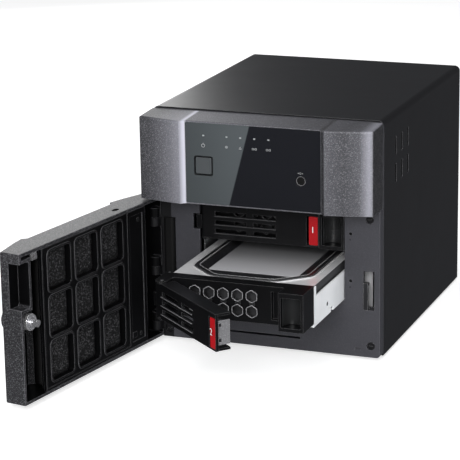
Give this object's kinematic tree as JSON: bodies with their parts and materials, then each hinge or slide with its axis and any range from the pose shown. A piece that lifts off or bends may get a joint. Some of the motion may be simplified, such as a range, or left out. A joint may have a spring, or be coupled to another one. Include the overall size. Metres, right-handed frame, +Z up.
{
  "type": "network attached storage",
  "caption": "Desktop network storage box with a steel case, hinged filter door, key lock, pull-out drive trays with levers, back fan and ports.",
  "frame": {"origin": "on the ground under the middle of the steel case, midway between its sides and between the front and back edges of the cover", "axes": "+X to the right as seen from the front, +Y to the back, +Z up"},
  "size_m": [0.2098, 0.3759, 0.17],
  "materials": {
    "case_paint": "satin black powder coat",
    "zinc_steel": "zinc-plated sheet",
    "foot_rubber": "matte",
    "black_screw": "black oxide",
    "bezel_plastic": "dark grey, fine metallic grain",
    "black_plastic": "fine moulded grain",
    "bright_steel": "bright",
    "panel_metallic": "dark metallic paint with fine sparkle",
    "window_gloss": "gloss black",
    "circuit_green": "solder mask",
    "guide_clear": "clear",
    "brass_spacer": "turned",
    "sink_aluminium": "extruded",
    "chip_black": "moulded epoxy",
    "supply_brown": "board and wound parts",
    "ribbon_grey": "flat cable",
    "button_black": "satin",
    "filter_foam": "open-cell foam",
    "lock_chrome": "polished",
    "tray_plastic": "fine moulded grain",
    "sled_steel": "bright sheet",
    "drive_aluminium": "cast, painted",
    "drive_steel": "bright sheet",
    "tab_red": "satin red"
  },
  "bodies": {
    "case": {"backplane": "circuit_green", "base_chassis": "zinc_steel", "bezel_screws": "black_screw", "board_chips": "chip_black", "board_spacers": "brass_spacer", "cover": "case_paint", "drive_cage": "zinc_steel", "drive_sockets": "black_plastic", "fan_frame": "black_plastic", "fan_guard": "case_paint", "feet": "foot_rubber", "front_bezel": "bezel_plastic", "front_board": "circuit_green", "front_switches": "black_plastic", "head_shell": "panel_metallic", "heat_sink": "sink_aluminium", "hinge_cover": "black_plastic", "hinge_pins": "bright_steel", "lan_ports": "bright_steel", "light_guides": "guide_clear", "main_board": "circuit_green", "memory_module": "circuit_green", "panel_ribbon": "ribbon_grey", "power_inlet": "black_plastic", "power_supply": "zinc_steel", "rear_panel": "case_paint", "rear_screws": "black_screw", "strike_plate": "bright_steel", "supply_parts": "supply_brown", "usb_ports": "bright_steel", "window_panel": "window_gloss"},
    "power_button_body": {"power_button": "button_black"},
    "function_button_body": {"function_button": "button_black"},
    "fan_rotor_body": {"fan_rotor": "black_plastic"},
    "door": {"door_shell": "panel_metallic", "door_inner_panel": "black_plastic", "filter_frame": "black_plastic", "filter_foam": "filter_foam", "door_catch": "bright_steel", "door_screws": "black_screw"},
    "door_lock": {"lock_barrel": "lock_chrome", "lock_cam": "bright_steel"},
    "tray_1": {"tray_1_front": "tray_plastic", "tray_1_lever_pin": "bright_steel", "tray_1_sled": "sled_steel", "tray_1_drive_casting": "drive_aluminium", "tray_1_drive_lid": "drive_steel", "tray_1_drive_screws": "bright_steel"},
    "lever_1": {"tray_1_lever": "tray_plastic"},
    "catch_1": {"tray_1_catch_tab": "tab_red", "tray_1_catch_hook": "sled_steel"},
    "tray_2": {"tray_2_front": "tray_plastic", "tray_2_lever_pin": "bright_steel", "tray_2_sled": "sled_steel", "tray_2_drive_casting": "drive_aluminium", "tray_2_drive_lid": "drive_steel", "tray_2_drive_screws": "bright_steel"},
    "lever_2": {"tray_2_lever": "tray_plastic"},
    "catch_2": {"tray_2_catch_tab": "tab_red", "tray_2_catch_hook": "sled_steel"}
  },
  "joints": [
    {"name": "door_hinge", "type": "hinge", "parent": "case", "child": "door", "pos_m": [-0.0804, -0.1122, 0.056], "axis": [0, 0, 1], "range_deg": [-5, 27]},
    {"name": "door_lock_turn", "type": "hinge", "parent": "door", "child": "door_lock", "pos_m": [-0.10647, -0.2654, 0.0595], "axis": [0.9845, -0.1754, 0], "range_deg": [0, 90]},
    {"name": "tray_1_slide", "type": "slide", "parent": "case", "child": "tray_1", "axis": [0, 1, 0], "range_m": [-0.12, 0]},
    {"name": "lever_1_swing", "type": "hinge", "parent": "tray_1", "child": "lever_1", "pos_m": [-0.0426, -0.1046, 0.0917], "axis": [0, 0, 1], "range_deg": [-45, 0]},
    {"name": "catch_1_press", "type": "slide", "parent": "lever_1", "child": "catch_1", "axis": [-1, 0, 0], "range_m": [0, 0.0015], "stiffness_N_per_m": 400},
    {"name": "tray_2_slide", "type": "slide", "parent": "case", "child": "tray_2", "axis": [0, 1, 0], "range_m": [-0.034, 0.086]},
    {"name": "lever_2_swing", "type": "hinge", "parent": "tray_2", "child": "lever_2", "pos_m": [-0.0426, -0.1906, 0.0587], "axis": [0, 0, 1], "range_deg": [-4, 41]},
    {"name": "catch_2_press", "type": "slide", "parent": "lever_2", "child": "catch_2", "axis": [-0.7547, 0.6561, 0], "range_m": [0, 0.0015], "stiffness_N_per_m": 400},
    {"name": "power_button_press", "type": "slide", "parent": "case", "child": "power_button_body", "axis": [0, 1, 0], "range_m": [0, 0.001], "stiffness_N_per_m": 600},
    {"name": "function_button_press", "type": "slide", "parent": "case", "child": "function_button_body", "axis": [0, 1, 0], "range_m": [0, 0.0008], "stiffness_N_per_m": 600},
    {"name": "fan_spin", "type": "hinge", "parent": "case", "child": "fan_rotor_body", "pos_m": [0.0058, 0.089, 0.076], "axis": [0, 1, 0], "continuous": true}
  ]
}
